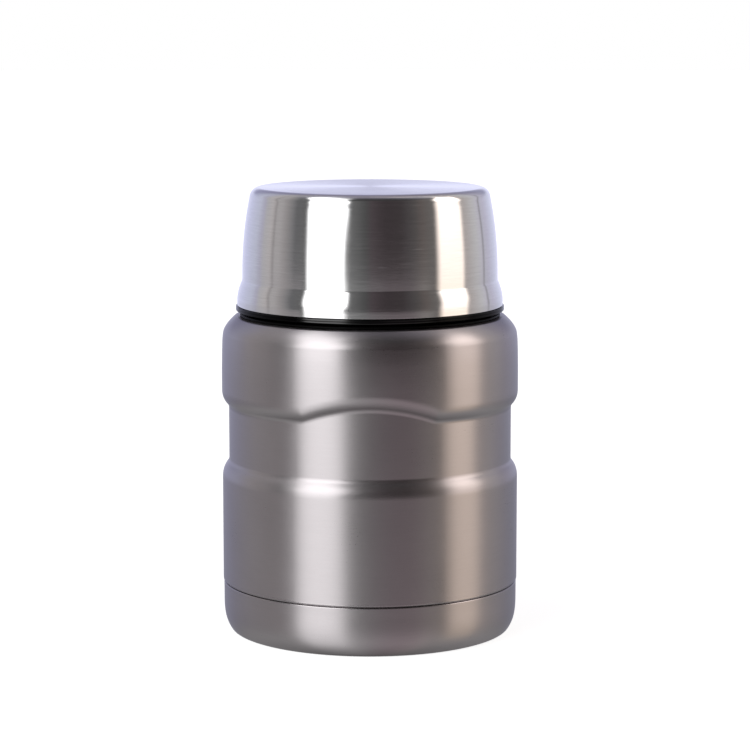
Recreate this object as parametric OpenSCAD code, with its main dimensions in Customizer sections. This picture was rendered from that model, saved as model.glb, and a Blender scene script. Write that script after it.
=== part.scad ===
// Vacuum food jar, about 0.47 litre: double steel wall, screw stopper and a
// screw-on lid that is also the serving bowl. Millimetres, +Z up, origin at the
// centre of the base. The front faces -Y.

/* [Jar] */
// Largest outside diameter of the jar
body_d = 94.6; // [94.4:0.1:96]
// Depth of the recessed waist, measured on the radius
waist_in = 2.2; // [1.6:0.05:2.3]
// Height at which the lower band starts to curve into the waist
waist_lo = 49.2; // [48:0.2:52]
// Height at which the upper band starts to curve into the waist
waist_hi = 78; // [76.4:0.2:79]
// Rise of the arched pocket in the upper band at the front
pocket_rise = 4.2; // [3:0.2:4.6]
// Height of the steel base cup, up to the seam
base_h = 15.8; // [14:0.2:18]
// Thickness of the steel sheet
sheet = 0.5; // [0.4:0.05:0.5]
// Inside diameter of the food vessel
vessel_d = 83; // [81:0.5:83]
// Inside diameter of the mouth
mouth_d = 70; // [69.6:0.1:70]
// Height of the mouth rim
mouth_z = 117.5; // [117:0.1:118]

/* [Lid] */
// Height of the lid's top, and of the whole jar
top_z = 142; // [140:0.5:146]
// Outside diameter of the lid's steel at its lower edge
lid_d = 84.5; // [84.4:0.1:85]
// Wall thickness of the lid's plastic liner
liner_t = 1.4; // [1.2:0.1:1.5]

/* [Stopper] */
// Height of the stopper's top
stopper_z = 126.3; // [125:0.1:127]
// Number of finger grooves round the stopper
grips = 30; // [20:2:36]

/* [Threads] */
// Distance between neighbouring thread ridges, and a third of the lead
pitch = 4; // [3.9:0.05:4.1]
// Length of one thread ridge in degrees
lug_a = 75; // [50:5:80]

/* [Hidden] */
$fn = 180;
e = 0.05;                       // assembly gap between pieces that are fixed together
starts = 3;
lead = starts * pitch;
R = body_d / 2;                 // upper band
RL = R - 0.1;                   // lower band
RW = R - waist_in;              // waist
ledge_z = 101.05;               // flat ledge under the collar
shoulder_r = 43.1;              // inner end of the rounded shoulder
neck_r = mouth_d / 2 + 1.8;     // outside of the steel neck
core_r = neck_r + 1.8;          // collar, between its thread ridges
vr = vessel_d / 2;
mr = mouth_d / 2;
lr = lid_d / 2;
lid_z = 104.4;                  // lower edge of the lid's steel
rim_z = 102.85;                 // lower edge of the liner's rim
step_z = 106.5;                 // foot of the step in the lid's steel
step_h = 6;                     // height of that step
root_r = core_r + 1.35;         // liner, between its thread ridges
floor_z = 10.5;                 // inside bottom of the food vessel
bowl_z = top_z - 7;             // inside bottom of the lid's bowl
flange_z = mouth_z + 1.2;       // underside of the stopper's flange
stop_r = mr - 1.1;              // stopper, between its thread ridges
plate_z = 5;                    // closing plate of the outer wall
skirt_r = RL - 1.45;            // outer wall, where the base cup covers it
skirt_z = 4.6;                  // its lower edge

// Points of an arc, given in degrees
function arc(c, r, a0, a1, n) = [for (i = [0:n]) let (a = a0 + (a1 - a0) * i / n) c + r * [cos(a), sin(a)]];
// Normal on the right of the way from a to b
function nrm(a, b) = let (d = b - a) [d[1], -d[0]] / norm(d);
// A profile moved sideways by t, with mitred corners
function moved(P, t) = let (k = len(P) - 1) [for (i = [0:k])
    let (m = (nrm(P[max(i - 1, 0)], P[max(i, 1)]) + nrm(P[min(i, k - 1)], P[min(i + 1, k)])) / 2)
    P[i] + t * m / (m * m)];
// Points of a rounded corner of radius r at b, on the way from a to c
function corner(a, b, c, r, n) = let (u = (a - b) / norm(a - b), v = (c - b) / norm(c - b), h = acos(u * v) / 2,
    o = b + (u + v) / norm(u + v) * r / sin(h), m = atan2(b[1] - o[1], b[0] - o[0]),
    w = (u[0] * v[1] - u[1] * v[0] < 0 ? 1 : -1) * (90 - h))
    [for (i = [0:n]) o + r * [cos(m + w * (2 * i / n - 1)), sin(m + w * (2 * i / n - 1))]];
function back(P) = [for (i = [len(P) - 1:-1:0]) P[i]];
function soft(t) = (1 - cos(180 * t)) / 2;

// Sheet metal: the outside profile P, from low to high, and t of metal inside it
module pressed(P, t) rotate_extrude() polygon(concat(P, back(moved(P, -t))));

// Radius of the lid's steel at height z: a step near the mouth, then a slow taper
function lid_r(z) = z < step_z ? lr
    : z < step_z + step_h ? lr - 1.62 * pow((z - step_z) / step_h, 1.6)
    : lr - 1.62 - 2.43 * pow(max(0, (z - step_z - step_h) / (top_z - 3.4 - step_z - step_h)), 2.2);

// Edge of a band of radius r0 that curves in to the waist, from the height z0 over h (upwards or
// downwards), with the power k, and the hollow corner after it
function band_edge(r0, z0, h, k) = let (
    d = r0 - RW, t = 0.86, g = d * k / h * pow(t, k - 1),
    a = [r0 - d * pow(t, k), z0 + h * t], b = [RW, a[1] + (a[0] - RW) / g])
    concat([for (i = [0:6]) [r0 - d * pow(t * i / 6, k), z0 + h * t * i / 6]], corner(a, b, b + [0, h], 2.1, 3));

// Outside of the jar from the seam to the top of the neck
function shell_profile() = concat(
    [[skirt_r, skirt_z], [skirt_r, base_h - 0.3], [RL - 0.4, base_h + 0.3], [RL, base_h + 0.7], [RL, waist_lo - 0.4]],
    band_edge(RL, waist_lo, 5.4, 2.43),
    back(band_edge(R, waist_hi, -5.3, 2.78)),
    [[R, 84], [R - 0.1, 90], [R - 0.25, 94]],
    [for (i = [0:8]) [R - 0.4 - (R - 0.4 - shoulder_r) * pow(i / 8, 1.75), 95.2 + (ledge_z - 0.2 - 95.2) * i / 8]],
    [[shoulder_r - 0.6, ledge_z], [neck_r + 1.2, ledge_z], [neck_r + 0.35, ledge_z + 0.35], [neck_r, ledge_z + 1.2],
     [neck_r, 107.5], [neck_r - 0.4, 108], [neck_r - 0.4, 109], [neck_r, 109.5], [neck_r, mouth_z - 0.2]]);

// Inside of the food vessel from its centre to the mouth
function vessel_profile() = concat(
    [[0, floor_z]],
    arc([vr - 8, floor_z + 8], 8, -90, 0, 8),
    [for (i = [0:8]) [vr - (vr - mr) * soft(i / 8), 90 + 11.5 * i / 8]],
    [[mr, mouth_z - 1]],
    arc([mr + 0.9, mouth_z - 0.9], 0.9, 172, 90, 5));

// Three equal helical ridges of trapezoid section on the radius r.
// side 1 stands outwards and -1 inwards. z0 is the middle of a ridge at angle a0.
module ridges(r, side, h, z0, a0, base = 1.7, crest = 0.9, embed = 0.3) {
    n = ceil(lug_a / 5);
    for (s = [0:starts - 1]) {
        pts = [for (i = [0:n]) let (
            a = a0 + 360 * s / starts + lug_a * i / n, z = z0 + lead * lug_a * i / n / 360,
            hh = h * min(1, 0.25 + i * 0.5, 0.25 + (n - i) * 0.5))
            for (p = [[-embed, -base / 2], [hh, -crest / 2], [hh, crest / 2], [-embed, base / 2]])
                let (q = r + side * p[0]) [q * cos(a), q * sin(a), z + p[1]]];
        f = concat([for (i = [0:n - 1], j = [0:3]) let (k = (j + 1) % 4) each
                [[4 * i + j, 4 * i + k, 4 * i + 4 + j], [4 * i + k, 4 * i + 4 + k, 4 * i + 4 + j]]],
            [[0, 3, 2], [0, 2, 1], [4 * n, 4 * n + 1, 4 * n + 2], [4 * n, 4 * n + 2, 4 * n + 3]]);
        polyhedron(pts, side > 0 ? f : [for (t = f) [t[2], t[1], t[0]]]);
    }
}

// Upright cylinder of metal between two radii
module ring(r0, r1, z0, z1) translate([0, 0, z0]) difference() {
    cylinder(h = z1 - z0, r = r1);
    translate([0, 0, -1]) cylinder(h = z1 - z0 + 2, r = r0);
}

// The front pocket's outline, an arch seen from the front, as a prism
module arch(grow, y0, y1) {
    z = waist_hi - 5.1;
    w = 20.2;
    r = (w * w + pocket_rise * pocket_rise) / (2 * pocket_rise);
    translate([0, y1, 0]) rotate([90, 0, 0]) linear_extrude(y1 - y0) intersection() {
        translate([0, z + pocket_rise - r]) circle(r = r + grow);
        translate([-w - 5, z - 3]) square([2 * w + 10, 12]);
    }
}

// ---- the jar ----

// Outer wall: two bands, waist with the front pocket, shoulder and neck
module outer_shell() color([0.66, 0.65, 0.66]) difference() {
    union() {
        pressed(shell_profile(), sheet);
        intersection() {
            arch(sheet, -60, -20);
            ring(RW - sheet, R - sheet / 2, waist_hi - 8, waist_hi + 5);
        }
    }
    intersection() {
        arch(0, -60, -20);
        ring(RW, R + 5, waist_hi - 8, waist_hi + 5);
    }
}

// Food vessel with the rolled mouth and the stopper's thread
module inner_vessel() color([0.74, 0.74, 0.75]) union() {
    P = vessel_profile();
    Q = moved([for (i = [0:18]) P[i]], sheet);
    rotate_extrude() polygon(concat(P,
        [[neck_r - sheet - e, mouth_z], [neck_r - sheet - e, mouth_z - 1.3], [mr + sheet, mouth_z - 2.1]],
        back(Q)));
    ridges(mr, -1, 0.8, 110, 20, embed = 0.25);
}

// Plate that closes the outer wall, with the evacuation dimple
module shell_bottom() color([0.6, 0.6, 0.61]) {
    r = skirt_r - sheet - e;
    P = [[1, plate_z + 1.1], [5, plate_z + 1.1], [7, plate_z], [r - 0.7, plate_z], [r - 0.5, skirt_z], [r, skirt_z]];
    rotate_extrude() polygon(concat(P, [[r, plate_z + sheet], [7.2, plate_z + sheet], [5.2, plate_z + 1.1 + sheet], [1, plate_z + 1.1 + sheet]]));
}

// Bead that seals the evacuation hole
module evacuation_seal() color([0.35, 0.35, 0.37]) union() {
    translate([0, 0, plate_z + 0.5]) cylinder(h = 0.6, r1 = 1.8, r2 = 2.6);
    translate([0, 0, plate_z + 0.9]) cylinder(h = 0.7, r = 1 - e);
}

// Getter pill under the vessel
module getter() color([0.4, 0.4, 0.42]) translate([0, 18, floor_z - sheet - 2.7]) cylinder(h = 2.2, r = 3.4);

// Spring strip that holds the getter against the vessel
module getter_clip() color([0.7, 0.7, 0.7]) translate([0, 18, floor_z - sheet]) rotate([90, 0, 0])
    translate([0, 0, -2]) linear_extrude(4) polygon([
        [-9, 0], [-5, 0], [-4, -2.75], [4, -2.75], [5, 0], [9, 0], [9, -0.3], [5.3, -0.3],
        [4.3, -3.05], [-4.3, -3.05], [-5.3, -0.3], [-9, -0.3]]);

// Foil wrapped round the vessel
module heat_shield() color([0.78, 0.5, 0.34]) ring(vr + sheet + 0.1, vr + sheet + 0.25, 20, 88);

// Steel cup over the bottom
module base_cap() color([0.66, 0.65, 0.66]) pressed(concat(
    [[0, 1.2], [28, 1.2], [29.5, 0.5], [31, 0], [R - 4.1, 0], [R - 3.22, 0.12]],
    [for (z = [0.35, 1, 1.8, 2.8, 4, 5.5, 7.5, 10]) [R - 0.32 - 2.6 * pow(1 - z / 12.4, 3.85), z]],
    [[R - 0.3, base_h - 0.3], [R - 0.42, base_h]]), sheet);

// Plastic ring on the neck with the lid's male thread
module neck_collar() color([0.05, 0.05, 0.055]) union() {
    z = ledge_z + e;
    rotate_extrude() polygon([
        [neck_r + 1.4, z], [41.1, z], [41.4, z + 0.3], [41.4, z + 0.6], [41.1, z + 0.9], [core_r + 0.5, z + 0.9],
        [core_r, z + 1.4], [core_r, 109.9], [core_r - 0.5, 110.4], [neck_r + e, 110.4], [neck_r + e, 109.5],
        [neck_r - 0.4 + e, 109], [neck_r - 0.4 + e, 108], [neck_r + e, 107.5], [neck_r + e, z + 1.2],
        [neck_r + 0.4, z + 0.4]]);
    ridges(core_r, 1, 1, 106.1, 20);
}

// ---- the stopper ----

// Lower cup of the stopper with its male thread
module stopper_body() color([0.06, 0.06, 0.065]) union() {
    f = mr + 1.6;
    rotate_extrude() polygon([
        [0, 100.6], [stop_r - 0.9, 100.6], [stop_r, 101.5], [stop_r, flange_z], [f - 0.3, flange_z],
        [f, flange_z + 0.3], [f, flange_z + 1.5], [stop_r - 1.6, flange_z + 1.5], [stop_r - 1.6, 102.8], [stop_r - 2.2, 102.2], [0, 102.2]]);
    ridges(stop_r, 1, 0.8, 108, 20);
}

// Top of the stopper with the finger grooves
module stopper_cap() color([0.05, 0.05, 0.055]) difference() {
    f = mr + 1.6;
    z = flange_z + 1.5;
    t = stopper_z;
    rotate_extrude() polygon([
        [stop_r - 3.2, z - 2.4], [stop_r - 1.65, z - 2.4], [stop_r - 1.65, z], [f, z], [f, t - 1], [f - 0.3, t - 0.3], [f - 1, t],
        [f - 3, t], [f - 3.6, t - 0.4], [f - 4.4, t - 1.2], [0, t - 1.2],
        [0, t - 2.8], [f - 5, t - 2.8], [stop_r - 3.2, t - 3.4]]);
    for (i = [0:grips - 1]) rotate([0, 0, i * 360 / grips]) translate([f + 1.2, 0, z - 1]) cylinder(h = 12, r = 2, $fn = 40);
}

// Insulating block sealed in the stopper
module stopper_foam() color([0.9, 0.88, 0.8]) translate([0, 0, 102.5]) cylinder(h = stopper_z - 3.2 - 102.5, r = stop_r - 3.5);

// Silicone ring under the stopper's flange
module stopper_gasket() color([0.75, 0.76, 0.76]) rotate_extrude() polygon([
    [stop_r + e, mouth_z + 0.4], [stop_r + 0.35, mouth_z + 0.1], [mr + 1.0, mouth_z + 0.1], [mr + 1.3, mouth_z + 0.4],
    [mr + 1.3, flange_z - 0.3], [mr + 1, flange_z], [stop_r + e, flange_z]]);

// ---- the lid ----

// Brushed steel cover
module lid_shell() color([0.8, 0.8, 0.82]) pressed(concat(
    [[lr, lid_z], [lr, step_z]],
    [for (i = [1:6]) let (z = step_z + step_h * i / 6) [lid_r(z), z]],
    [for (i = [1:9]) let (z = step_z + step_h + (top_z - 3.4 - step_z - step_h) * i / 9) [lid_r(z), z]],
    arc([lr - 4.05 - 3.3, top_z - 3.3], 3.3, 10, 90, 7),
    [[0, top_z]]), sheet);

// Plastic liner: serving bowl, female thread and the visible rim
module lid_liner() color([0.04, 0.04, 0.045]) union() {
    g = sheet + 0.15;
    h = g + liner_t;
    n = 9;
    z1 = bowl_z - 2.5;
    z2 = bowl_z - 3.2;
    ro = 4 / (1 - sin(10));
    ri = 3.2 / (1 - sin(10));
    rotate_extrude() polygon(concat(
        [[root_r, rim_z + 0.3], [root_r + 0.3, rim_z], [lr + 0.15, rim_z], [lr + 0.45, rim_z + 0.3],
         [lr + 0.45, rim_z + 0.62], [lr + 0.3, rim_z + 0.75], [lr + 0.45, rim_z + 0.88], [lr + 0.45, lid_z - 0.3],
         [lr + 0.2, lid_z], [lr - g, lid_z]],
        [for (i = [0:6]) let (z = step_z + step_h * i / 6) [lid_r(z) - g, z]],
        [for (i = [1:n]) let (z = step_z + step_h + (z1 - step_z - step_h) * i / n) [lid_r(z) - g, z]],
        arc([lid_r(z1) - g - ro * cos(10), z1 - ro * sin(10)], ro, 18, 90, 6),
        [[0, bowl_z + 1.5], [0, bowl_z]],
        arc([lid_r(z2) - h - ri * cos(10), z2 - ri * sin(10)], ri, 90, 18, 5),
        [for (i = [n - 1:-1:0]) let (z = 113 + (z2 - 113) * i / (n - 1)) [lid_r(z) - h, z]],
        [[root_r, 110.6]]));
    ridges(root_r, -1, 1, 106.1 - pitch / 2, 30);
}

// Insulating pad between the lid's steel and its liner
module lid_foam() color([0.9, 0.88, 0.8]) translate([0, 0, bowl_z + 1.8]) cylinder(h = top_z - sheet - 0.3 - bowl_z - 1.8, r = 33);

outer_shell();
inner_vessel();
shell_bottom();
evacuation_seal();
getter();
getter_clip();
heat_shield();
base_cap();
neck_collar();
stopper_body();
stopper_cap();
stopper_foam();
stopper_gasket();
lid_shell();
lid_liner();
lid_foam();
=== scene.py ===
import bpy
import math
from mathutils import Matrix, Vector


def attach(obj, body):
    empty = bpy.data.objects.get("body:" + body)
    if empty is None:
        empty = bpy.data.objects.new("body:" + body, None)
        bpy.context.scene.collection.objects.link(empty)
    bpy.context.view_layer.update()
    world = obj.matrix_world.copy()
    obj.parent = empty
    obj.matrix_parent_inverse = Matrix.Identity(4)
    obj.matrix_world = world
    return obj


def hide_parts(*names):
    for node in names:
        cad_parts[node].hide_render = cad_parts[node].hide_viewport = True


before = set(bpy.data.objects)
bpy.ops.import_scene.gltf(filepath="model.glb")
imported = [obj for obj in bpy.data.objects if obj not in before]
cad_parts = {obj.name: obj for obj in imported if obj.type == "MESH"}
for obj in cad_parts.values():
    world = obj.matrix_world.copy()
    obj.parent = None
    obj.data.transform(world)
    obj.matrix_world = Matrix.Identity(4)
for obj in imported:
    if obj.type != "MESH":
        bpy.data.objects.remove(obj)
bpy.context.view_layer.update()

# ---------------------------------------------------------------- sizes, in millimetres
MM = 0.001
R, RL, RW = 47.3, 47.2, 45.1             # upper band, lower band, waist
LEDGE = 101.05
SEAM = 15.8                               # top of the base cup
SHOULDER = 43.1
NECK = 36.8
MOUTH_R, MOUTH_Z = 35.0, 117.5
CORE = 38.6                               # neck collar between its ridges
LR, LID_Z, TOP = 42.25, 104.4, 142.0      # lid's lower radius, lower edge and top
RIM_R, RIM_Z = 42.7, 102.85               # liner's visible rim
STEP_Z, STEP_H = 106.5, 6.0               # step in the lid's steel
ROOT = 39.95                              # liner between its ridges
FLANGE = 118.7
STOP_R = 33.9
CAP_R, CAP_Z = 36.6, 126.3
BOWL = 135.0
LEAD = 12.0
LUG = 75.0


def soft(t):
    t = min(1.0, max(0.0, t))
    return (1 - math.cos(math.pi * t)) / 2


def smooth(t):
    t = min(1.0, max(0.0, t))
    return t * t * (3 - 2 * t)


# ---------------------------------------------------------------- outlines
def arc(cx, cz, r, a0, a1, n):
    return [(cx + r * math.cos(math.radians(a0 + (a1 - a0) * i / n)),
             cz + r * math.sin(math.radians(a0 + (a1 - a0) * i / n))) for i in range(n + 1)]


def rounded(points, closed=True, hold=0.12):
    """Points are (r, z) or (r, z, radius). Each corner with a radius becomes an arc, with a
    holding point on each side so that smooth shading stays inside the arc."""
    out = []
    n = len(points)
    for i, p in enumerate(points):
        rad = p[2] if len(p) > 2 else 0
        if not closed and i in (0, n - 1):
            rad = 0
        b = Vector((p[0], p[1]))
        if rad <= 0:
            out.append((b.x, b.y))
            continue
        a = Vector(points[i - 1][:2])
        c = Vector(points[(i + 1) % n][:2])
        u, v = a - b, c - b
        lu, lv = u.length, v.length
        u.normalize(), v.normalize()
        turn = math.pi - math.acos(max(-1, min(1, u.dot(v))))
        if turn < 0.02:
            out.append((b.x, b.y))
            continue
        ra = points[i - 1][2] if len(points[i - 1]) > 2 else 0
        rc = points[(i + 1) % n][2] if len(points[(i + 1) % n]) > 2 else 0
        t = rad * math.tan(turn / 2)
        t = min(t, lu * (0.46 if ra > 0 else 0.9), lv * (0.46 if rc > 0 else 0.9))
        rad = t / math.tan(turn / 2)
        mid = (u + v).normalized()
        centre = b + mid * (rad / math.cos(turn / 2))
        s, e = b + u * t, b + v * t
        if lu - t > 3 * hold:
            h = s + u * hold
            out.append((h.x, h.y))
        a0 = math.atan2(s.y - centre.y, s.x - centre.x)
        a1 = math.atan2(e.y - centre.y, e.x - centre.x)
        d = (a1 - a0 + math.pi) % (2 * math.pi) - math.pi
        k = max(2, math.ceil(abs(d) / math.radians(15)))
        for j in range(k + 1):
            w = a0 + d * j / k
            out.append((centre.x + rad * math.cos(w), centre.y + rad * math.sin(w)))
        if lv - t > 3 * hold:
            h = e + v * hold
            out.append((h.x, h.y))
    return out


def moved(points, t):
    """The open outline moved sideways by t, to the right of its way, with mitred corners."""
    out = []
    k = len(points) - 1
    for i in range(k + 1):
        def nrm(a, b):
            d = Vector((b[0] - a[0], b[1] - a[1]))
            return Vector((d.y, -d.x)).normalized()
        n0 = nrm(points[max(i - 1, 0)], points[max(i, 1)])
        n1 = nrm(points[min(i, k - 1)], points[min(i + 1, k)])
        m = (n0 + n1) / 2
        q = Vector(points[i][:2]) + m * (t / m.length_squared)
        out.append((q.x, q.y))
    return out


def clean(points, least=0.012, closed=True):
    """Drops points closer together than least."""
    out = []
    for p in points:
        if not out or math.hypot(p[0] - out[-1][0], p[1] - out[-1][1]) > least:
            out.append(p)
    if closed and math.hypot(out[0][0] - out[-1][0], out[0][1] - out[-1][1]) <= least:
        out.pop()
    return out


def divided(points, step, z0, z1, closed=True):
    """Adds points so that no stretch inside z0..z1 is longer than step."""
    out = []
    n = len(points)
    for i, p in enumerate(points):
        out.append(p)
        if i == n - 1 and not closed:
            break
        q = points[(i + 1) % n]
        length = math.hypot(q[0] - p[0], q[1] - p[1])
        if max(p[1], q[1]) > z0 and min(p[1], q[1]) < z1 and length > step:
            k = math.ceil(length / step)
            out += [(p[0] + (q[0] - p[0]) * j / k, p[1] + (q[1] - p[1]) * j / k) for j in range(1, k)]
    return out


# ---------------------------------------------------------------- meshes
def lathe(name, outline, turns=256, shape=None, centre=(0.0, 0.0)):
    """A closed solid turned about Z. outline is a closed list of (r, z) in millimetres. turns is a
    number of segments or a list of angles in radians. shape(i, r, z, a) gives the (r, z) of outline
    point i at the angle a."""
    angles = turns if isinstance(turns, list) else [2 * math.pi * k / turns for k in range(turns)]
    m = len(angles)
    verts, rings, faces = [], [], []
    for i, (r, z) in enumerate(outline):
        if r < 1e-6:
            rings.append([len(verts)])
            verts.append((centre[0] * MM, centre[1] * MM, z * MM))
        else:
            ring = []
            for a in angles:
                rr, zz = shape(i, r, z, a) if shape else (r, z)
                ring.append(len(verts))
                verts.append(((centre[0] + rr * math.cos(a)) * MM, (centre[1] + rr * math.sin(a)) * MM, zz * MM))
            rings.append(ring)
    n = len(outline)
    for i in range(n):
        p, q = rings[i], rings[(i + 1) % n]
        if len(p) == 1 and len(q) == 1:
            continue
        for k in range(m):
            l = (k + 1) % m
            if len(p) == 1:
                faces.append((p[0], q[l], q[k]))
            elif len(q) == 1:
                faces.append((p[k], p[l], q[0]))
            else:
                faces.append((p[k], p[l], q[l], q[k]))
    area = sum(outline[i][0] * outline[(i + 1) % n][1] - outline[(i + 1) % n][0] * outline[i][1] for i in range(n))
    if area < 0:
        faces = [f[::-1] for f in faces]
    return solid(name, verts, faces)


def solid(name, verts, faces, sharp=50):
    me = bpy.data.meshes.new(name)
    me.from_pydata(verts, [], faces)
    me.validate()
    me.shade_smooth()
    me.set_sharp_from_angle(angle=math.radians(sharp))
    ob = bpy.data.objects.new(name, me)
    bpy.context.scene.collection.objects.link(ob)
    return ob


def ridge_height(a, z, z0, a0, base=1.8, crest=0.8):
    """0 to 1: how far a point at the angle a (degrees) and height z stands up on a thread ridge."""
    best = 0.0
    for s in range(3):
        t = (a - a0 - 120 * s) % 360
        if t > LUG + 4 and t < 356:
            continue
        if t >= 356:
            t -= 360
        d = abs(z - (z0 + LEAD * t / 360))
        if d > base / 2 + 0.2:
            continue
        up = smooth((base / 2 + 0.05 - d) / (base / 2 - crest / 2 + 0.1))
        end = smooth((t + 3) / 9) * smooth((LUG + 3 - t) / 9)
        best = max(best, up * end)
    return best


def piece(ob, body, slot_name, material, *nodes):
    ob.data.materials.clear()
    ob.data.materials.append(material)
    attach(ob, body)
    if nodes:
        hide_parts(*nodes)
    return ob


# ---------------------------------------------------------------- materials
class Mat:
    """A small helper that builds one node material."""

    def __init__(self, name, **sockets):
        self.m = bpy.data.materials.new(name)
        self.m.use_nodes = True
        self.t = self.m.node_tree
        self.t.nodes.clear()
        self.out = self.node("ShaderNodeOutputMaterial")
        self.b = self.node("ShaderNodeBsdfPrincipled")
        self.t.links.new(self.b.outputs[0], self.out.inputs["Surface"])
        for k, v in sockets.items():
            self.b.inputs[k.replace("_", " ")].default_value = v
        self.bumps = None

    def node(self, kind, **props):
        n = self.t.nodes.new(kind)
        for k, v in props.items():
            setattr(n, k, v)
        return n

    def put(self, n, sock, value):
        if isinstance(value, bpy.types.NodeSocket):
            self.t.links.new(value, n.inputs[sock])
        elif value is not None:
            n.inputs[sock].default_value = value
        return n

    def math(self, op, a, b=None, c=None, clamp=False):
        n = self.node("ShaderNodeMath", operation=op, use_clamp=clamp)
        for i, v in enumerate((a, b, c)):
            self.put(n, i, v)
        return n.outputs[0]

    def vec(self, op, a, b=None, scale=None):
        n = self.node("ShaderNodeVectorMath", operation=op)
        self.put(n, 0, a)
        if b is not None:
            self.put(n, 1, b)
        if scale is not None:
            self.put(n, "Scale", scale)
        return n.outputs["Value"] if op == "LENGTH" else n.outputs["Vector"]

    def object(self):
        if not hasattr(self, "_obj"):
            self._obj = self.node("ShaderNodeTexCoord").outputs["Object"]
            s = self.node("ShaderNodeSeparateXYZ")
            self.t.links.new(self._obj, s.inputs[0])
            self.x, self.y, self.z = s.outputs
        return self._obj

    def combine(self, x, y, z):
        n = self.node("ShaderNodeCombineXYZ")
        for i, v in enumerate((x, y, z)):
            self.put(n, i, v)
        return n.outputs[0]

    def round_the_axis(self, along, across):
        """Coordinates that run round Z: along is how many noise cells to a radian, across how many
        to a metre of height or radius. Noise on them is drawn out into turning lines."""
        self.object()
        flat = self.combine(self.x, self.y, 0.0)
        if not hasattr(self, "_r"):
            self._r = self.vec("LENGTH", flat)
            self._unit = self.vec("NORMALIZE", flat)
            s = self.node("ShaderNodeSeparateXYZ")
            self.t.links.new(self._unit, s.inputs[0])
            self._ux, self._uy = s.outputs[0], s.outputs[1]
        w = self.math("MULTIPLY", self.math("SUBTRACT", self.z, self._r), across)
        return self.combine(self.math("MULTIPLY", self._ux, along), self.math("MULTIPLY", self._uy, along), w)

    def noise(self, vector, scale=1.0, detail=2.0, rough=0.5, distortion=0.0, dims="3D"):
        n = self.node("ShaderNodeTexNoise", noise_dimensions=dims)
        self.put(n, "Vector", vector)
        n.inputs["Scale"].default_value = scale
        n.inputs["Detail"].default_value = detail
        n.inputs["Roughness"].default_value = rough
        n.inputs["Distortion"].default_value = distortion
        return n.outputs[0]

    def ramp(self, fac, lo, hi, to_lo=0.0, to_hi=1.0, kind="LINEAR"):
        n = self.node("ShaderNodeMapRange", interpolation_type=kind, clamp=True)
        self.put(n, "Value", fac)
        for s, v in zip(("From Min", "From Max", "To Min", "To Max"), (lo, hi, to_lo, to_hi)):
            n.inputs[s].default_value = v
        return n.outputs[0]

    def mix_colour(self, fac, a, b):
        n = self.node("ShaderNodeMix", data_type="RGBA", blend_type="MIX")
        self.put(n, 0, fac)
        for i, v in ((6, a), (7, b)):
            self.put(n, i, (*v, 1.0) if isinstance(v, tuple) and len(v) == 3 else v)
        return n.outputs[2]

    def near(self, z, width):
        """1 at the height z (metres), falling to 0 at width from it."""
        self.object()
        d = self.math("ABSOLUTE", self.math("SUBTRACT", self.z, z))
        return self.ramp(d, 0.0, width, 1.0, 0.0, "SMOOTHSTEP")

    def bump(self, height, strength, distance):
        n = self.node("ShaderNodeBump")
        n.inputs["Strength"].default_value = strength
        n.inputs["Distance"].default_value = distance
        self.put(n, "Height", height)
        if self.bumps is not None:
            self.t.links.new(self.bumps, n.inputs["Normal"])
        self.bumps = n.outputs[0]
        self.t.links.new(self.bumps, self.b.inputs["Normal"])

    def upright_tangent(self):
        n = self.node("ShaderNodeTangent", direction_type="RADIAL", axis="Z")
        self.t.links.new(n.outputs[0], self.b.inputs["Tangent"])


def satin_steel():
    """Fine satin finish with a faint turned grain."""
    m = Mat("satin_steel", Metallic=1.0, Anisotropic=0.35, Anisotropic_Rotation=0.25)
    m.b.inputs["Specular Tint"].default_value = (0.70, 0.70, 0.72, 1.0)
    m.upright_tangent()
    fine = m.noise(m.round_the_axis(14.0, 9000.0), detail=2.0)
    broad = m.noise(m.round_the_axis(5.0, 1500.0), detail=2.0)
    cloud = m.noise(m.object(), scale=55.0, detail=3.0)
    speck = m.noise(m.object(), scale=2600.0, detail=1.0)
    grain = m.math("ADD", m.math("MULTIPLY", fine, 0.55), m.math("MULTIPLY", speck, 0.45))
    edge = m.math("MAXIMUM", m.near(0.0158, 0.0005), m.near(0.0165, 0.0006))
    tone = m.math("ADD", m.ramp(grain, 0.3, 0.7, 0.0, 0.5), m.ramp(broad, 0.3, 0.7, 0.0, 0.2))
    tone = m.math("ADD", tone, m.ramp(cloud, 0.3, 0.7, 0.0, 0.3))
    m.put(m.b, "Base Color", m.mix_colour(tone, (0.408, 0.384, 0.393), (0.458, 0.432, 0.442)))
    rough = m.math("ADD", m.ramp(grain, 0.3, 0.7, 0.28, 0.32), m.ramp(cloud, 0.35, 0.65, -0.012, 0.012))
    rough = m.math("SUBTRACT", rough, m.math("MULTIPLY", edge, 0.07))
    m.put(m.b, "Roughness", rough)
    m.bump(grain, 0.08, 0.00002)
    return m.m


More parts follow.
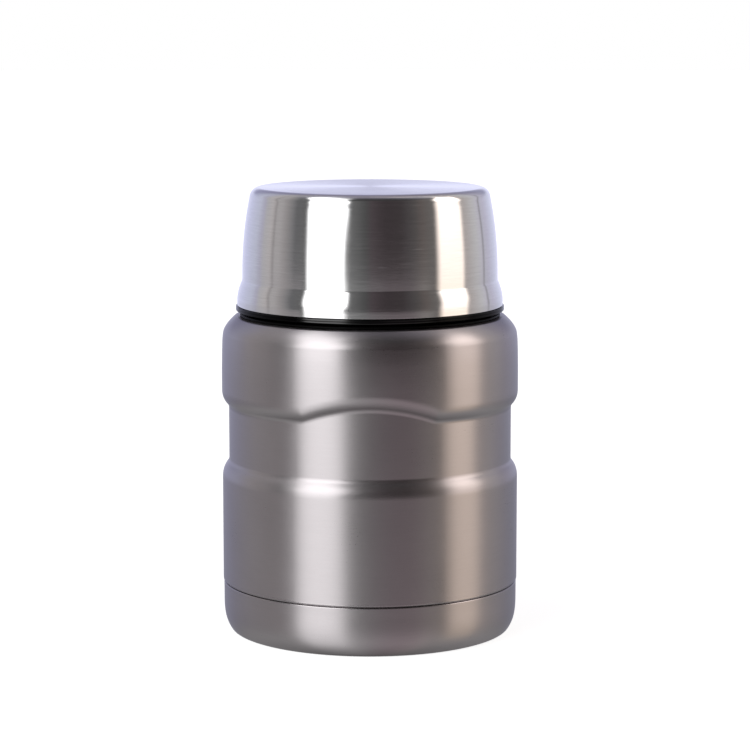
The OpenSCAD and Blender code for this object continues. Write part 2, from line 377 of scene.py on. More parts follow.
def brushed_steel():
    """Spun and brushed finish: lines run round the axis and draw reflections out across them."""
    m = Mat("brushed_steel", Metallic=1.0, Anisotropic=0.93, Anisotropic_Rotation=0.25)
    m.upright_tangent()
    fine = m.noise(m.round_the_axis(9.0, 9500.0), detail=2.0)
    broad = m.noise(m.round_the_axis(3.5, 2300.0), detail=2.0)
    line = m.noise(m.round_the_axis(6.0, 4200.0), detail=0.0)
    cloud = m.noise(m.object(), scale=45.0, detail=3.0)
    lines = m.math("ADD", m.math("MULTIPLY", fine, 0.6), m.math("MULTIPLY", broad, 0.4))
    streak = m.ramp(line, 0.70, 0.80, 0.0, 1.0, "SMOOTHSTEP")
    tone = m.math("ADD", m.ramp(lines, 0.33, 0.67, 0.0, 0.85), m.math("MULTIPLY", streak, 0.15))
    m.put(m.b, "Base Color", m.mix_colour(tone, (0.70, 0.695, 0.70), (0.80, 0.795, 0.80)))
    edge = m.math("MAXIMUM", m.near(0.1044, 0.0005), m.near(0.1125, 0.0007))
    rough = m.math("ADD", m.ramp(lines, 0.3, 0.7, 0.12, 0.16), m.ramp(cloud, 0.3, 0.7, -0.008, 0.008))
    rough = m.math("ADD", rough, m.math("MULTIPLY", streak, 0.06))
    rough = m.math("SUBTRACT", rough, m.math("MULTIPLY", edge, 0.03))
    m.put(m.b, "Roughness", rough)
    m.bump(lines, 0.10, 0.00002)
    return m.m


def vessel_steel():
    """The vessel's turned and polished inside."""
    m = Mat("vessel_steel", Metallic=1.0, Anisotropic=0.6, Anisotropic_Rotation=0.25)
    m.upright_tangent()
    fine = m.noise(m.round_the_axis(8.0, 6500.0), detail=2.0)
    broad = m.noise(m.round_the_axis(3.0, 1100.0), detail=2.0)
    cloud = m.noise(m.object(), scale=40.0, detail=3.0)
    lines = m.math("ADD", m.math("MULTIPLY", fine, 0.55), m.math("MULTIPLY", broad, 0.45))
    m.put(m.b, "Base Color", m.mix_colour(m.ramp(lines, 0.3, 0.7), (0.66, 0.65, 0.645), (0.77, 0.765, 0.76)))
    rough = m.math("ADD", m.ramp(lines, 0.3, 0.7, 0.17, 0.27), m.ramp(cloud, 0.3, 0.7, -0.02, 0.02))
    m.put(m.b, "Roughness", rough)
    m.bump(lines, 0.15, 0.00002)
    return m.m


def gloss_black():
    """Polished moulded plastic, with faint flow in its gloss."""
    m = Mat("gloss_black", IOR=1.6)
    cloud = m.noise(m.object(), scale=70.0, detail=3.0)
    dust = m.noise(m.object(), scale=1900.0, detail=1.0)
    spots = m.ramp(dust, 0.72, 0.80, 0.0, 1.0, "SMOOTHSTEP")
    m.put(m.b, "Base Color", m.mix_colour(m.ramp(cloud, 0.3, 0.7), (0.0003, 0.0003, 0.0004), (0.0006, 0.0006, 0.0008)))
    facing = m.node("ShaderNodeLayerWeight").outputs["Facing"]
    gloss = m.math("MULTIPLY", m.ramp(facing, 0.007, 0.02, 0.15, 1.0), m.ramp(facing, 0.11, 0.17, 0.55, 0.05))
    m.put(m.b, "Specular IOR Level", gloss)
    rough = m.math("ADD", m.ramp(cloud, 0.3, 0.7, 0.10, 0.16), m.math("MULTIPLY", spots, 0.12))
    m.put(m.b, "Roughness", rough)
    m.bump(cloud, 0.05, 0.0001)
    return m.m


def satin_black(name="satin_black", lo=(0.0032, 0.0032, 0.0036), hi=(0.0052, 0.0052, 0.0058), level=0.12):
    """Spark-textured moulded plastic."""
    m = Mat(name, IOR=1.5)
    m.b.inputs["Specular IOR Level"].default_value = level
    grain = m.noise(m.object(), scale=2300.0, detail=2.0, rough=0.6)
    cloud = m.noise(m.object(), scale=60.0, detail=3.0)
    m.put(m.b, "Base Color", m.mix_colour(m.ramp(cloud, 0.3, 0.7), lo, hi))
    rough = m.math("ADD", m.ramp(grain, 0.3, 0.7, 0.38, 0.5), m.ramp(cloud, 0.3, 0.7, -0.03, 0.03))
    m.put(m.b, "Roughness", rough)
    m.bump(grain, 0.35, 0.00004)
    return m.m


def silicone():
    m = Mat("silicone", IOR=1.42, Subsurface_Weight=0.35, Subsurface_Scale=0.002)
    cloud = m.noise(m.object(), scale=90.0, detail=3.0)
    grain = m.noise(m.object(), scale=2500.0, detail=1.0)
    m.put(m.b, "Base Color", m.mix_colour(m.ramp(cloud, 0.3, 0.7), (0.53, 0.54, 0.545), (0.62, 0.63, 0.63)))
    m.put(m.b, "Roughness", m.ramp(grain, 0.3, 0.7, 0.38, 0.5))
    m.bump(grain, 0.2, 0.00003)
    return m.m


def foam_mat():
    """Closed-cell insulating foam."""
    m = Mat("closed_cell_foam")
    v = m.node("ShaderNodeTexVoronoi", feature="DISTANCE_TO_EDGE")
    m.put(v, "Vector", m.object())
    v.inputs["Scale"].default_value = 900.0
    cell = m.ramp(v.outputs["Distance"], 0.0, 0.18, 0.0, 1.0, "SMOOTHSTEP")
    cloud = m.noise(m.object(), scale=80.0, detail=4.0)
    tone = m.math("MULTIPLY", cell, m.ramp(cloud, 0.3, 0.7, 0.6, 1.0))
    m.put(m.b, "Base Color", m.mix_colour(tone, (0.62, 0.58, 0.47), (0.86, 0.83, 0.73)))
    m.put(m.b, "Roughness", m.ramp(cell, 0.0, 1.0, 0.95, 0.75))
    m.bump(cell, 0.6, 0.00025)
    return m.m


def foil_mat():
    """Thin reflecting foil, wrinkled where it is wrapped."""
    m = Mat("copper_foil", Metallic=1.0)
    v = m.node("ShaderNodeTexVoronoi", feature="F1")
    m.put(v, "Vector", m.object())
    v.inputs["Scale"].default_value = 160.0
    crease = m.ramp(v.outputs["Distance"], 0.0, 0.8)
    cloud = m.noise(m.object(), scale=120.0, detail=4.0, distortion=0.8)
    height = m.math("ADD", m.math("MULTIPLY", crease, 0.5), m.math("MULTIPLY", cloud, 0.5))
    m.put(m.b, "Base Color", m.mix_colour(m.ramp(cloud, 0.3, 0.7), (0.72, 0.40, 0.25), (0.86, 0.52, 0.35)))
    m.put(m.b, "Roughness", m.ramp(height, 0.3, 0.7, 0.16, 0.3))
    m.bump(height, 0.5, 0.0006)
    return m.m


def dull_metal(name, lo, hi, r0, r1):
    """Sintered or pressed grey metal."""
    m = Mat(name, Metallic=1.0)
    grain = m.noise(m.object(), scale=1500.0, detail=3.0, rough=0.65)
    cloud = m.noise(m.object(), scale=140.0, detail=3.0)
    tone = m.math("ADD", m.ramp(grain, 0.3, 0.7, 0.0, 0.6), m.ramp(cloud, 0.3, 0.7, 0.0, 0.4))
    m.put(m.b, "Base Color", m.mix_colour(tone, lo, hi))
    m.put(m.b, "Roughness", m.ramp(grain, 0.3, 0.7, r0, r1))
    m.bump(grain, 0.4, 0.00006)
    return m.m


SATIN, BRUSHED, VESSEL = satin_steel(), brushed_steel(), vessel_steel()
GLOSS, BLACK, RUBBER = gloss_black(), satin_black(), silicone()
# the neck collar's black plastic, darker and duller than the stopper's: partly its own black, partly painted shade for
# the gap under the liner's rim
COLLAR_BLACK_AND_SHADE = satin_black("collar_black_painted_shade", (0.0008, 0.0008, 0.0010), (0.0015, 0.0015, 0.0018), 0.05)
FOAM, FOIL = foam_mat(), foil_mat()
SEAL = dull_metal("seal_metal", (0.20, 0.20, 0.215), (0.34, 0.34, 0.36), 0.3, 0.5)
PILL = dull_metal("sintered_getter", (0.16, 0.155, 0.155), (0.30, 0.295, 0.29), 0.5, 0.75)


# ---------------------------------------------------------------- the jar's outer wall
def band_edge(r0, z0, h, k):
    """Edge of a band of radius r0 that curves in to the waist from z0 over h, and its hollow corner."""
    d, t = r0 - RW, 0.86
    pts = [(r0 - d * (t * i / 14) ** k, z0 + h * t * i / 14) for i in range(15)]
    r, z = pts[-1]
    return pts + [(RW, z + (r - RW) / (d * k / h * t ** (k - 1)), 2.1)]


def band_edges():
    """The outside from the seam up to the neck, as points with corner radii."""
    p = [(45.75, 4.6), (45.75, SEAM - 0.45), (46.8, SEAM + 0.16, 0.2), (RL, SEAM + 0.6, 0.3), (RL, 30.0), (RL, 48.7)]
    p += band_edge(RL, 49.2, 5.4, 2.43)
    p += [(RW, 57.5), (RW, 60.0), (RW, 64.0), (RW, 68.0), (RW, 70.5)]
    p += band_edge(R, 78.0, -5.3, 2.78)[::-1]
    p += [(R, 78.5), (R, 80.0), (R, 82.0), (R, 84.0), (R - 0.1, 90.0), (R - 0.22, 93.6)]
    for i in range(0, 25):                                    # shoulder
        t = i / 24
        p.append((R - 0.4 - (R - 0.4 - SHOULDER) * t ** 1.75, 95.2 + (LEDGE - 0.2 - 95.2) * t))
    p += [(42.55, LEDGE, 0.5), (NECK + 1.1, LEDGE, 0.3), (NECK, LEDGE + 1.15, 0.4), (NECK, 107.4), (NECK - 0.4, 108.0),
          (NECK - 0.4, 109.0), (NECK, 109.6), (NECK, 117.25)]
    return p


def pocket_rise(a):
    """How far the upper crease of the waist is lifted at the angle a, where the front pocket's
    arch stands above it."""
    x = 45.1 * math.sin(a + math.pi / 2)
    if math.sin(a) > 0 or abs(x) > 24:
        return 0.0
    w, h = 20.2, 4.2
    rad = (w * w + h * h) / (2 * h)
    y = h - (rad - math.sqrt(max(0.0, rad * rad - x * x)))
    k = 0.22                                                  # softens the two corners
    return (y + math.sqrt(y * y + k * k)) / 2 if y > -3 else 0.0


def shell_shape(i, r, z, a):
    up = pocket_rise(a)
    if up > 0:
        if z <= 73.2:
            w = smooth((z - 62.0) / 10.2)
        else:
            w = 1 - smooth((z - 75.5) / 11.0)
        z += up * w
    return r, z


front = [math.radians(-90 + d * 0.7) for d in range(-43, 44)]
rest = 170
span = 2 * math.pi - (front[-1] - front[0])
shell_angles = front + [front[-1] + span * (k + 1) / (rest + 1) for k in range(rest)]

outside = rounded(band_edges(), closed=False)
raw = [p[:2] for p in band_edges()]
inside = moved(raw, -0.5)[::-1]
outline = clean(outside + inside)
outer_shell = piece(lathe("jar_outer_wall", outline, shell_angles, shell_shape), "jar", "body_steel", SATIN, "outer_shell")


# ---------------------------------------------------------------- base cup
def base_edges():
    p = [(0, 1.2), (27.6, 1.2, 1.2), (29.6, 0.45, 0.5), (31.2, 0.0, 0.8), (36.0, 0.0), (41.4, 0.0), (44.38, 0.0, 1.4)]
    for i in range(0, 27):
        z = 0.9 + 11.4 * (i / 26) ** 1.35
        p.append((R - 0.32 - 2.6 * (1 - z / 12.4) ** 3.85, z))
    p += [(R - 0.32, 13.4), (R - 0.3, SEAM - 1.0), (R - 0.3, SEAM - 0.25)]
    return p


def base_outline():
    p = base_edges()
    raw = [q[:2] for q in p]
    outer = rounded(p[:-1], closed=False)
    inner = moved(raw, -0.5)[::-1]
    r = R - 0.3
    lip = rounded([(r, SEAM - 1), (r, SEAM, 0.28), (r - 0.5, SEAM, 0.12), (r - 0.5, SEAM - 1)], closed=False, hold=0.05)[1:-1]
    return clean(outer + lip + [q for q in inner if q[1] < SEAM - 0.8])


base_cap = piece(lathe("base_cup", base_outline(), 300), "jar", "body_steel", SATIN, "base_cap")


# ---------------------------------------------------------------- food vessel
def vessel_outline():
    inner = [(0, 10.5), (20.0, 10.5)] + arc(33.5, 18.5, 8, -90, 0, 18) + [(41.5, 30.0), (41.5, 60.0), (41.5, 86.0)]
    inner += [(41.5 - 6.5 * soft(i / 24), 90 + 11.5 * i / 24) for i in range(25)]
    wall = [p for p in inner]
    outer = moved(wall, 0.5)[::-1]
    inner += [(MOUTH_R, 103.0), (MOUTH_R, 116.4)] + arc(MOUTH_R + 0.9, MOUTH_Z - 0.9, 0.9, 172, 90, 8)
    lip = [(36.15, MOUTH_Z), (36.25, 117.4), (36.25, 116.3), (35.55, 115.5), (35.5, 103.0)]
    return clean(inner + lip + outer)


V = divided(vessel_outline(), 0.11, 108.9, 113.6)


def vessel_shape(i, r, z, a):
    if 108.6 < z < 114.0 and r < MOUTH_R + 0.02:
        r -= 0.8 * ridge_height(math.degrees(a), z, 110.0, 20.0)
    return r, z


vessel = piece(lathe("food_vessel", V, 300, vessel_shape), "jar", "vessel_steel", VESSEL, "inner_vessel")


# ---------------------------------------------------------------- neck collar
def collar_outline():
    z = LEDGE + 0.05
    return clean(rounded([
        (NECK + 1.4, z, 0.2), (41.4, z, 0.25), (41.4, z + 0.9, 0.25), (CORE + 0.2, z + 0.9, 0.5), (CORE, z + 1.6),
        (CORE, 104.0), (CORE, 109.6), (CORE, 110.4, 0.5), (NECK + 0.05, 110.4, 0.15), (NECK + 0.05, 109.6),
        (NECK - 0.35, 109.0), (NECK - 0.35, 108.0), (NECK + 0.05, 107.4), (NECK + 0.05, z + 1.3), (NECK + 0.45, z + 0.5)]))


C = divided(collar_outline(), 0.11, 104.9, 109.9)


def collar_shape(i, r, z, a):
    if r > CORE - 0.02 and 104.6 < z < 110.1:
        r += ridge_height(math.degrees(a), z, 106.1, 20.0)
    return r, z


collar = piece(lathe("neck_collar", C, 360, collar_shape), "jar", "black_satin", COLLAR_BLACK_AND_SHADE, "neck_collar")


# ---------------------------------------------------------------- stopper
def stopper_body_outline():
    return clean(rounded([
        (0, 100.6), (26.0, 100.6, 1.0), (27.0, 101.1, 0.8), (STOP_R - 1.8, 101.1), (STOP_R - 1.0, 101.1, 0.5), (STOP_R, 102.1, 0.5),
        (STOP_R, 107.0), (STOP_R, 113.0), (STOP_R, FLANGE), (CAP_R, FLANGE, 0.3), (CAP_R, FLANGE + 1.48, 0.1), (STOP_R - 1.6, FLANGE + 1.48),
        (STOP_R - 1.6, 102.8, 0.6), (STOP_R - 2.2, 102.2, 0.4), (0, 102.2)]))


S = divided(stopper_body_outline(), 0.11, 106.8, 111.6)


def stopper_shape(i, r, z, a):
    if STOP_R - 0.02 < r < STOP_R + 0.02 and 106.6 < z < 111.8:
        r += 0.8 * ridge_height(math.degrees(a), z, 108.0, 20.0)
    return r, z


stopper_body = piece(lathe("stopper_cup", S, 360, stopper_shape), "stopper", "black_satin", BLACK, "stopper_body")


def cap_outline():
    z, t, f = FLANGE + 1.5, CAP_Z, CAP_R
    return clean(rounded([
        (STOP_R - 3.2, z - 2.4, 0.2), (STOP_R - 1.65, z - 2.4, 0.2), (STOP_R - 1.65, z), (f, z, 0.15), (f, z + 1.0), (f, z + 2.6), (f, t - 2.0),
        (f, t, 1.0), (f - 3.2, t, 0.6), (f - 4.3, t - 1.2, 0.8), (f - 6.5, t - 1.2), (24.0, t - 1.2, 0.3), (23.6, t - 1.45, 0.2),
        (23.0, t - 1.45, 0.2), (22.6, t - 1.2, 0.3), (12.0, t - 1.2), (0, t - 1.2),
        (0, t - 2.8), (f - 5, t - 2.8), (STOP_R - 3.2, t - 3.4, 0.3)]))


grooves = 30


def cap_shape(i, r, z, a):
    if r > CAP_R - 1.3 and z > FLANGE + 1.45:
        d = abs((math.degrees(a) + 6) % 12 - 6)
        g = 0.0
        if d < 3.1:
            g = smooth((3.1 - d) / 2.6)
        fade = smooth((r - (CAP_R - 1.3)) / 0.7)
        low = smooth((z - (FLANGE + 1.45)) / 0.35)
        r -= 0.85 * g * fade * (0.35 + 0.65 * low)
    return r, z


stopper_cap = piece(lathe("stopper_grip_cap", cap_outline(), 600, cap_shape), "stopper", "black_satin", BLACK, "stopper_cap")

gasket_outline = clean(rounded([
    (STOP_R + 0.05, MOUTH_Z + 0.15, 0.2), (MOUTH_R + 1.3, MOUTH_Z + 0.1, 0.35), (MOUTH_R + 1.3, FLANGE, 0.3), (STOP_R + 0.05, FLANGE, 0.2)], hold=0.05))
gasket = piece(lathe("stopper_seal_ring", gasket_outline, 256), "stopper", "silicone", RUBBER, "stopper_gasket")


# ---------------------------------------------------------------- lid
def lid_r(z):
    if z < STEP_Z:
        return LR
    if z < STEP_Z + STEP_H:
        return LR - 1.62 * max(0.0, (z - STEP_Z) / STEP_H) ** 1.6
    return LR - 1.62 - 2.43 * max(0.0, (z - STEP_Z - STEP_H) / (TOP - 3.4 - STEP_Z - STEP_H)) ** 2.2


def lid_edges():
    p = [(LR, LID_Z), (LR, LID_Z + 0.5), (LR, STEP_Z - 0.6)]
    for i in range(0, 17):
        z = STEP_Z + 5.6 * i / 16
        p.append((lid_r(z), z))
    top = STEP_Z + STEP_H
    p.append((lid_r(top), top, 1.2))
    for i in range(1, 22):
        z = top + (TOP - 3.4 - top) * (i / 21)
        p.append((lid_r(z), z))
    p += arc(LR - 4.05 - 3.3, TOP - 0.16 - 3.3, 3.3, 10, 88.4, 18)
    r1, z1 = p[-1]
    for i in range(1, 13):                                    # slight crown
        r = r1 + (23.0 - r1) * i / 12
        p.append((r, z1 + (TOP - z1) * (1 - ((r - 23.0) / (r1 - 23.0)) ** 2)))
    p += [(12.0, TOP), (0, TOP)]
    return p


def lid_outline():
    p = lid_edges()
    outer = rounded(p, closed=False)
    inner = moved([q[:2] for q in p], -0.5)[::-1]
    inner[0] = (0, TOP - 0.5)
    rim = rounded([(LR - 0.5, LID_Z + 0.5), (LR - 0.5, LID_Z, 0.12), (LR, LID_Z, 0.22), (LR, LID_Z + 0.5)], closed=False, hold=0.04)
    return clean(rim[:-1] + [q for q in outer if q[1] > LID_Z + 0.4] + [q for q in inner if q[1] > LID_Z + 0.6])


lid_shell = piece(lathe("lid_steel_cover", lid_outline(), 300), "lid", "lid_steel", BRUSHED, "lid_shell")


def liner_outline():
    g, h = 0.65, 0.65 + 1.4
    z1, z2 = BOWL - 2.5, BOWL - 3.2
    ro, ri = 4 / (1 - math.sin(math.radians(10))), 3.2 / (1 - math.sin(math.radians(10)))
    c10, s10 = math.cos(math.radians(10)), math.sin(math.radians(10))
    top, edge = STEP_Z + STEP_H, LID_Z - 0.05
    p = rounded([(ROOT, 105.0), (ROOT, RIM_Z, 0.35), (RIM_R, RIM_Z, 0.28), (RIM_R, RIM_Z + 0.6, 0.05), (RIM_R - 0.14, RIM_Z + 0.75, 0.05),
                 (RIM_R, RIM_Z + 0.9, 0.05), (RIM_R, edge, 0.28), (LR - g, edge)], closed=False, hold=0.06)[1:]
    p += [(LR - g, STEP_Z - 0.4)]
    p += [(lid_r(STEP_Z + STEP_H * i / 12) - g, STEP_Z + STEP_H * i / 12) for i in range(1, 13)]
    p += [(lid_r(z) - g, z) for z in [top + (z1 - top) * i / 14 for i in range(1, 15)]]
    p += arc(lid_r(z1) - g - ro * c10, z1 - ro * s10, ro, 18, 90, 14)
    p += [(15.0, BOWL + 1.5), (0, BOWL + 1.5), (0, BOWL), (15.0, BOWL)]
    p += arc(lid_r(z2) - h - ri * c10, z2 - ri * s10, ri, 90, 18, 14)
    p += [(lid_r(z) - h, z) for z in [113.2 + (z2 - 113.2) * i / 14 for i in range(13, -1, -1)]]
    p += [(ROOT + 0.02, 111.2), (ROOT, 110.6)]
    return clean(p)


L = divided(liner_outline(), 0.11, 102.8, 109.0)
# only the bore needs the close rows
L = [q for k, q in enumerate(L) if not (ROOT + 1.0 < q[0] < LR - 0.3 and k % 8 and LID_Z + 0.2 < q[1] < 109.0)]


def liner_shape(i, r, z, a):
    if abs(r - ROOT) < 0.02 and 102.6 < z < 109.2:
        keep = smooth((z - 103.15) / 0.4)
        r -= ridge_height(math.degrees(a), z, 104.1, 30.0) * keep
    return r, z


liner = piece(lathe("lid_bowl_liner", L, 360, liner_shape), "lid", "black_gloss", GLOSS, "lid_liner")

# ---------------------------------------------------------------- pieces that stay as the frame has them
for node, material in {
        "shell_bottom": SATIN, "evacuation_seal": SEAL, "getter": PILL, "getter_clip": VESSEL, "heat_shield": FOIL,
        "stopper_foam": FOAM, "lid_foam": FOAM}.items():
    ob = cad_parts[node]
    if not ob.material_slots:
        ob.data.materials.append(material)
    for s in ob.material_slots:
        s.material = material


# ---------------------------------------------------------------- studio
def studio():
    w = bpy.data.worlds.new("studio")
    bpy.context.scene.world = w
    w.use_nodes = True
    t = w.node_tree
    t.nodes.clear()
    new = t.nodes.new

    def mathn(op, a, b=None, clamp=False):
        n = new("ShaderNodeMath")
        n.operation, n.use_clamp = op, clamp
        for i, v in enumerate((a, b)):
            if isinstance(v, bpy.types.NodeSocket):
                t.links.new(v, n.inputs[i])
            elif v is not None:
                n.inputs[i].default_value = v
        return n.outputs[0]

    def step(x, lo, hi, a=0.0, b=1.0):
        n = new("ShaderNodeMapRange")
        n.interpolation_type = "SMOOTHSTEP"
        t.links.new(x, n.inputs["Value"])
        for s, v in zip(("From Min", "From Max", "To Min", "To Max"), (lo, hi, a, b)):
            n.inputs[s].default_value = v
        return n.outputs[0]

    def ramp(x, stops):
        n = new("ShaderNodeValToRGB")
        r = n.color_ramp
        r.interpolation = "LINEAR"
        while len(r.elements) > 1:
            r.elements.remove(r.elements[-1])
        first = True
        for pos, c in stops:
            c = (c, c, c) if isinstance(c, (int, float)) else c
            el = r.elements[0] if first else r.elements.new(pos)
            el.position = pos
            el.color = (*c, 1.0)
            first = False
        t.links.new(x, n.inputs[0])
        return n.outputs[0]

    def mix(f, a, b):
        n = new("ShaderNodeMix")
        n.data_type = "RGBA"
        for i, v in ((0, f), (6, a), (7, b)):
            if isinstance(v, bpy.types.NodeSocket):
                t.links.new(v, n.inputs[i])
            else:
                n.inputs[i].default_value = (*v, 1.0) if isinstance(v, tuple) else v
        return n.outputs[2]

    def times(a, b):
        n = new("ShaderNodeMix")
        n.data_type, n.blend_type = "RGBA", "MULTIPLY"
        n.inputs[0].default_value = 1.0
        t.links.new(a, n.inputs[6])
        t.links.new(b, n.inputs[7])
        return n.outputs[2]

    co = new("ShaderNodeTexCoord").outputs["Generated"]
    sep = new("ShaderNodeSeparateXYZ")
    t.links.new(co, sep.inputs[0])
    x, y, z = sep.outputs
    az = mathn("ARCTAN2", x, mathn("MULTIPLY", y, -1.0))              # 0 towards -Y, positive towards +X
    el = mathn("MULTIPLY", mathn("ARCSINE", z), 180 / math.pi)

    def at(d):
        return d / 360 + 0.5

    elt = mathn("ADD", mathn("MULTIPLY", el, 1 / 180), 0.5)

    def up(d):
        return d / 180 + 0.5

    # high up, what stands at the sides spreads round the room
    spread = ramp(elt, [(0.0, 1.0), (up(6), 1.0), (up(16), 0.95), (up(35), 0.89), (up(45), 0.81), (up(56), 0.58), (up(66), 0.5), (1.0, 0.5)])
    azp = mathn("MULTIPLY", mathn("MULTIPLY", az, 180 / math.pi), spread)
    turn = mathn("ADD", mathn("MULTIPLY", azp, 1 / 360), 0.5)

    # round the room, as the lid shows it and as the jar below it does
    room = [(-180, (.87, .885, 1.13)), (-150, (.68, .70, .93)), (-126, (.60, .62, .76)), (-117, (.50, .49, .60)), (-112, (.52, .51, .53)),
            (-103, (.55, .52, .52)), (-100.3, (.50, .47, .47)), (-98.9, (.36, .34, .34)), (-97.1, (.36, .34, .34)), (-95.8, (.47, .45, .45)),
            (-90, (.46, .44, .44)), (-83, (.36, .34, .34)), (-76, (.25, .245, .25)), (-71, (.155, .155, .16)), (-60, (.15, .15, .15)),
            (62, (.15, .14, .135)), (97, (.50, .455, .44)), (112, (.61, .60, .61)), (121.9, (.62, .60, .68)), (123.2, (.34, .33, .36)),
            (124.9, (.34, .33, .36)), (126.2, (.58, .57, .66)), (134, (.60, .58, .71)), (150, (.70, .72, .90)), (180, (.87, .885, 1.13))]
    room_low = [(-180, (.66, .68, .84)), (-147, (.60, .61, .76)), (-134, (.51, .505, .60)), (-123, (.485, .475, .53)), (-106, (.47, .455, .48)),
                (-91, (.45, .425, .44)), (-79, (.44, .405, .41)), (-60, (.46, .43, .45)), (62, (.20, .18, .17)), (97, (.50, .455, .44)),
                (111, (.53, .505, .50)), (130, (.49, .48, .53)), (142, (.50, .51, .59)), (180, (.66, .68, .84))]
    base = ramp(turn, [(at(d), c) for d, c in room])
    base_low = ramp(turn, [(at(d), c) for d, c in room_low])
    dim = ramp(elt, [(0.0, .75), (up(-11.5), .77), (up(-8), 1.0), (1.0, 1.0)])
    base = mix(step(el, -5.8, -7.8), base, times(base_low, dim))
    # the wall behind fades upwards
    sky = ramp(elt, [(up(d), c) for d, c in [(-5, 1.0), (7, 1.0), (9.5, (.87, .87, .89)), (12, (.67, .66, .70)), (15.5, (.50, .49, .54)),
                                             (30, (.44, .42, .46)), (62, (.38, .35, .36)), (88, (.31, .29, .29))]])
    rear = step(mathn("ABSOLUTE", az), 2.25, 2.85)
    base = mix(rear, base, times(base, sky))

    # in front: dark at eye level, paler towards the table
    ahead = ramp(elt, [(up(d), c) for d, c in [(-90, .18), (-80, .20), (-60, .30), (-35, .44), (-20, .38), (-14, .305), (-12, .275), (-10, .235),
                                               (-8, .190), (-6, .095), (0, .06)]])
    across = ramp(turn, [(at(d), c) for d, c in [(-60, 1.4), (-18, 1.6), (-8, 1.28), (0, (1.17, 1.11, 1.14)), (18, (1.09, .93, .99)), (37, (1.11, .94, .99)), (52, (1.5, 1.4, 1.35))]])
    high = ramp(elt, [(0.0, 1.0), (up(38), 1.0), (up(46), 1.25), (up(56), .75), (up(78), .9), (1.0, .9)])
    eye = ramp(turn, [(at(d), c) for d, c in [(-60, .13), (-20, .165), (-14, .145), (-9, .118), (-4, .088), (2, (.082, .066, .072)), (8, (.064, .052, .056)),
                                              (15, (.053, .043, .046)), (28, (.056, .047, .049)), (35, (.075, .067, .069)), (42, (.098, .089, .087)),
                                              (48, (.135, .115, .108)), (60, (.16, .145, .135))]])
    facing = mix(step(el, -4.6, -7.6), times(eye, high), times(ahead, across))
    in_front = mathn("MULTIPLY", step(azp, -66.0, -60.0), step(azp, 62.0, 48.0))
    colour = mix(in_front, base, facing)

    # below the table's edge
    below = ramp(elt, [(up(d), c) for d, c in [(-90, .18), (-80, .20), (-60, .30), (-35, .46), (-20, .42), (-14, .40)]])
    colour = mix(mathn("MULTIPLY", step(el, -14.0, -30.0), mathn("SUBTRACT", 1.0, in_front)), colour, below)

    # overhead and behind
    behind = step(y, -0.35, 0.35)                                    # 0 in front, 1 behind
    over = ramp(mathn("ADD", mathn("MULTIPLY", x, 0.5), 0.5), [(0.5 + d / 2, c) for d, c in [
        (-.6, (.60, .58, .66)), (-.25, (.48, .47, .56)), (-.06, (.34, .32, .39)), (.2, (.33, .31, .37)), (.45, (.46, .45, .52)), (.6, (.50, .49, .56))]])
    top = mix(behind, (0.05, 0.05, 0.05), over)
    colour = mix(step(el, 42.0, 72.0), colour, top)

    # side walls of light: soft-edged in azimuth and in elevation
    front_only = mathn("SUBTRACT", 1.0, mathn("MULTIPLY", step(y, 0.08, 0.38), step(el, 38.0, 52.0)))
    heights = mathn("MULTIPLY", step(el, 81.0, 65.0), front_only)
    inner = mathn("ADD", mathn("ADD", azp, step(el, 7.0, 18.0, 0.5, -3.5)), step(el, -5.8, -7.8, 0.9, -2.3))
    left = mathn("MULTIPLY", step(azp, -60.3, -55.4), step(inner, -19.3, -23.5))
    left = mathn("MULTIPLY", left, mathn("MULTIPLY", heights, step(el, -62.0, -38.0)))
    glow = ramp(elt, [(up(d), c) for d, c in [(-60, .8), (-36, 1.25), (-12, 1.62), (-8, 2.08), (0, 2.25), (20, 2.75), (40, 2.9), (54, 2.65), (66, 2.5), (88, 1.4)]])
    colour = mix(left, colour, glow)
    right = mathn("MULTIPLY", step(azp, 60.0, 67.5), step(azp, 96.3, 90.3))
    right = mathn("MULTIPLY", right, mathn("MULTIPLY", heights, step(el, -40.0, -22.0)))
    warm = ramp(elt, [(up(d), (v * 1.11, v * g * 1.01, v * b)) for d, v, g, b in [
        (-40, .70, .92, .77), (-13, .82, .93, .77), (-11, .90, .93, .77), (-8, 1.56, .93, .78), (-4, 1.36, .96, .88), (5, 1.5, .96, .88),
        (22, 1.95, .98, .90), (30, 2.3, .98, .91), (40, 2.5, .98, .91), (50, 2.3, .99, .93), (66, 2.0, .99, .93), (88, 1.2, .98, .94)]])
    colour = mix(right, colour, warm)

    lit = new("ShaderNodeBackground")
    t.links.new(colour, lit.inputs["Color"])
    seen = new("ShaderNodeBackground")
    seen.inputs["Color"].default_value = (1, 1, 1, 1)
    path = new("ShaderNodeLightPath")
    choose = new("ShaderNodeMixShader")
    t.links.new(path.outputs["Is Camera Ray"], choose.inputs[0])
    t.links.new(lit.outputs[0], choose.inputs[1])
    t.links.new(seen.outputs[0], choose.inputs[2])
    out = new("ShaderNodeOutputWorld")
    t.links.new(choose.outputs[0], out.inputs[0])


def floor():
    me = bpy.data.meshes.new("floor")
    n = 96
    verts = [(0, 0, 0)] + [(6 * math.cos(2 * math.pi * k / n), 6 * math.sin(2 * math.pi * k / n), 0) for k in range(n)]
    me.from_pydata([(x, y, -0.00002) for x, y, z in verts], [], [(0, 1 + k, 1 + (k + 1) % n) for k in range(n)])
    ob = bpy.data.objects.new("floor", me)
    bpy.context.scene.collection.objects.link(ob)
    m = Mat("pale_floor", Roughness=0.9)
    m.b.inputs["Base Color"].default_value = (0.42, 0.42, 0.42, 1)
    m.b.inputs["Specular IOR Level"].default_value = 0.0
    m.b.inputs["Emission Color"].default_value = (1, 1, 1, 1)
    m.b.inputs["Emission Strength"].default_value = 0.84
    me.materials.append(m.m)
    ob.visible_glossy = False


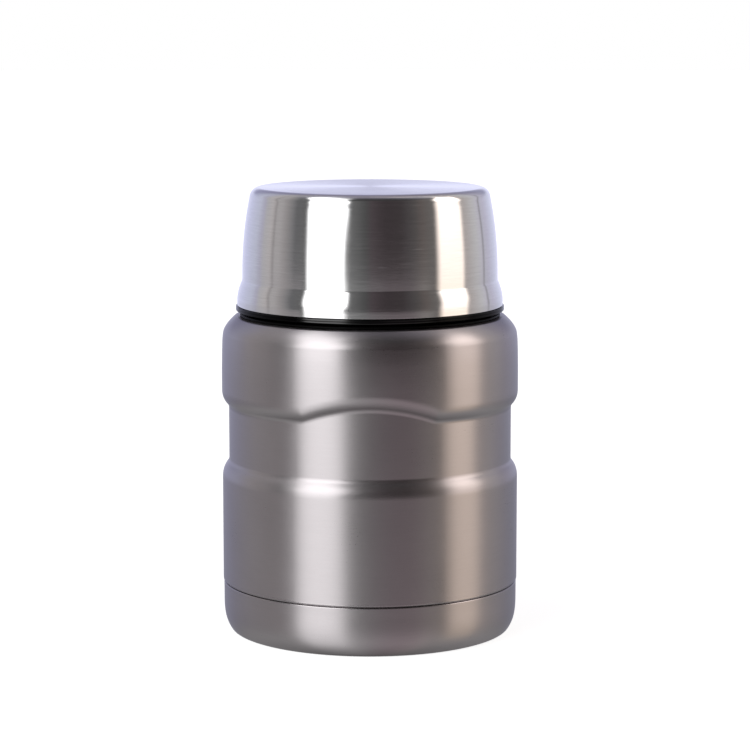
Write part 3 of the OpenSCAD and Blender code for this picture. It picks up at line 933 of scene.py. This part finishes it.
def camera():
    cam = bpy.data.cameras.new("camera")
    cam.sensor_width = 36.0
    cam.lens = 2800 * 36.0 / 750
    cam.clip_start, cam.clip_end = 0.01, 50
    ob = bpy.data.objects.new("camera", cam)
    bpy.context.scene.collection.objects.link(ob)
    ob.location = (0.0016, -0.887, 0.2048)
    ob.rotation_euler = (math.radians(90 - 7.909), 0, 0)
    bpy.context.scene.camera = ob


studio()
floor()
camera()
bpy.context.scene.view_settings.view_transform = "Standard"
bpy.context.scene.view_settings.look = "None"
